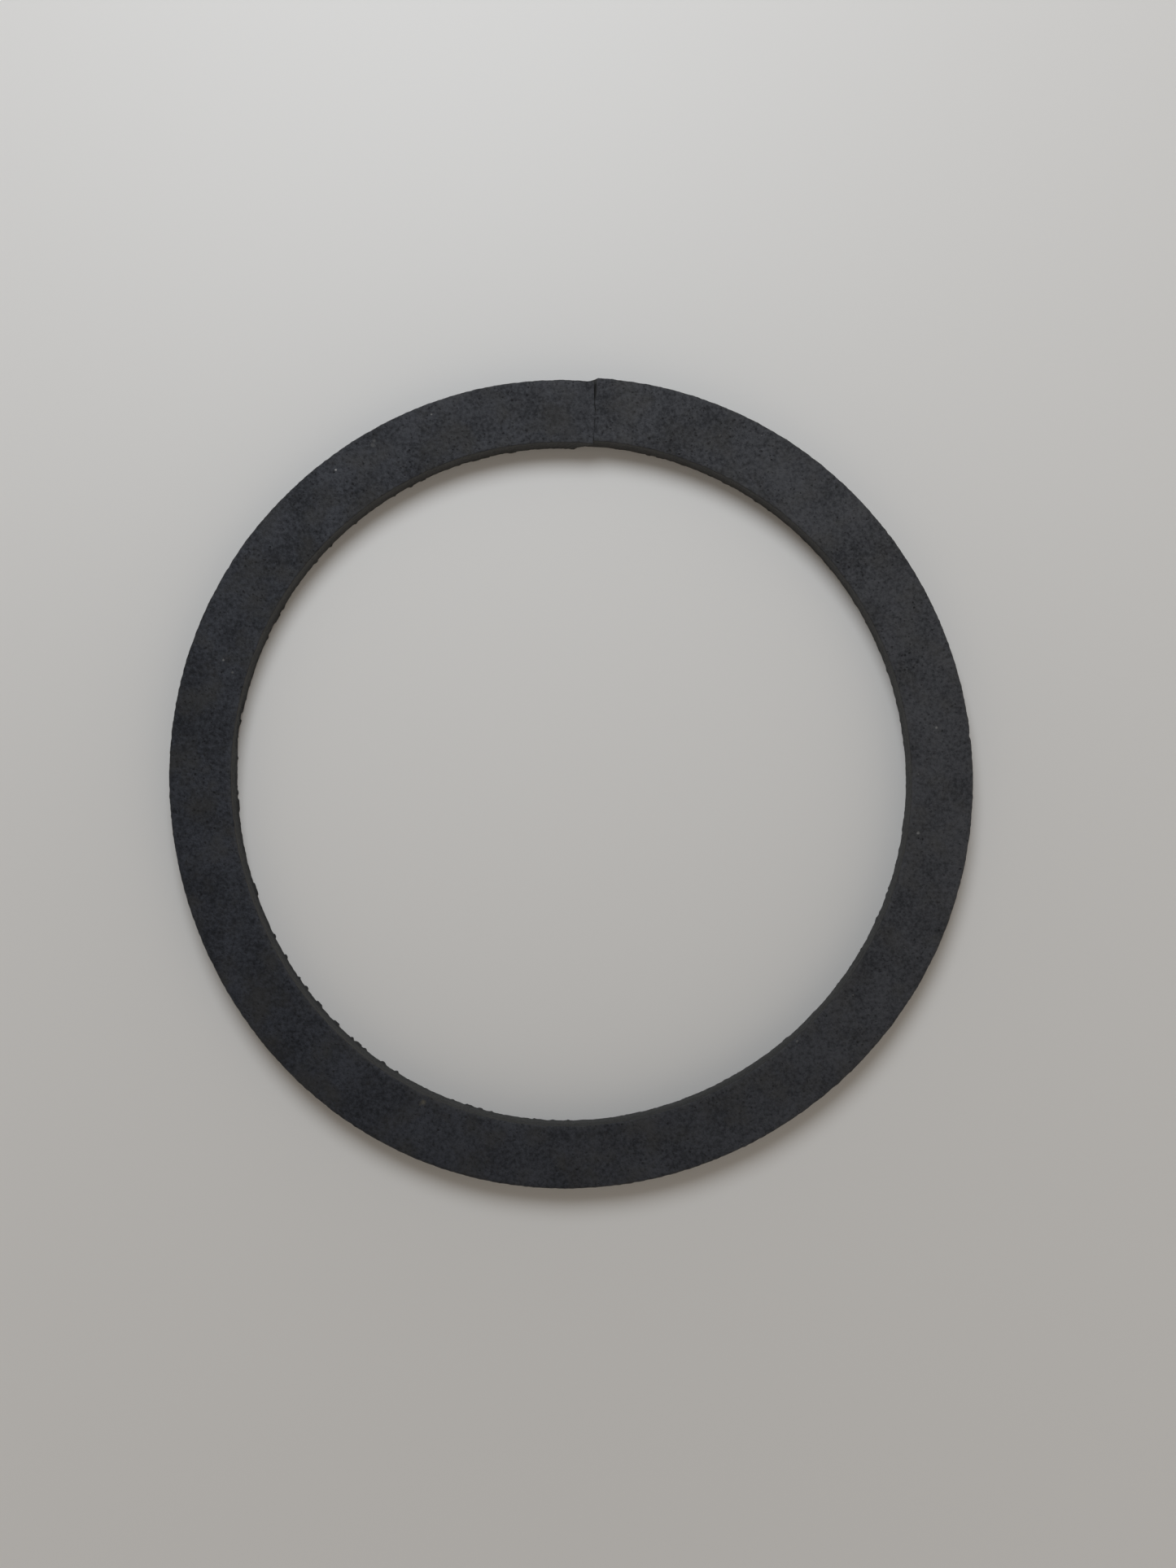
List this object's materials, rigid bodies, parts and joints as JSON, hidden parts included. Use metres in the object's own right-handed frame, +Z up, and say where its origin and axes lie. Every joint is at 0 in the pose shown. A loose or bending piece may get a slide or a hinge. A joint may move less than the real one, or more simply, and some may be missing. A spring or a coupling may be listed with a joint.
{
  "type": "backup ring",
  "caption": "Flat black rubber backup ring of rectangular section, cut through once on a lean, with the overlapping end sprung slightly inward at the cut.",
  "frame": {"origin": "on the bore's axis, at the lower face that the ring lies on", "axes": "+Z up along the bore's axis; the cut through the band is near +Y, 3.6 degrees towards +X on the upper face"},
  "size_m": [0.0826, 0.0826, 0.0032],
  "materials": {
    "rubber": "charcoal-black rubber, matte with a faint sheen, finely pebbled and pitted"
  },
  "bodies": {
    "root": {"backup_ring": "rubber"}
  },
  "joints": []
}
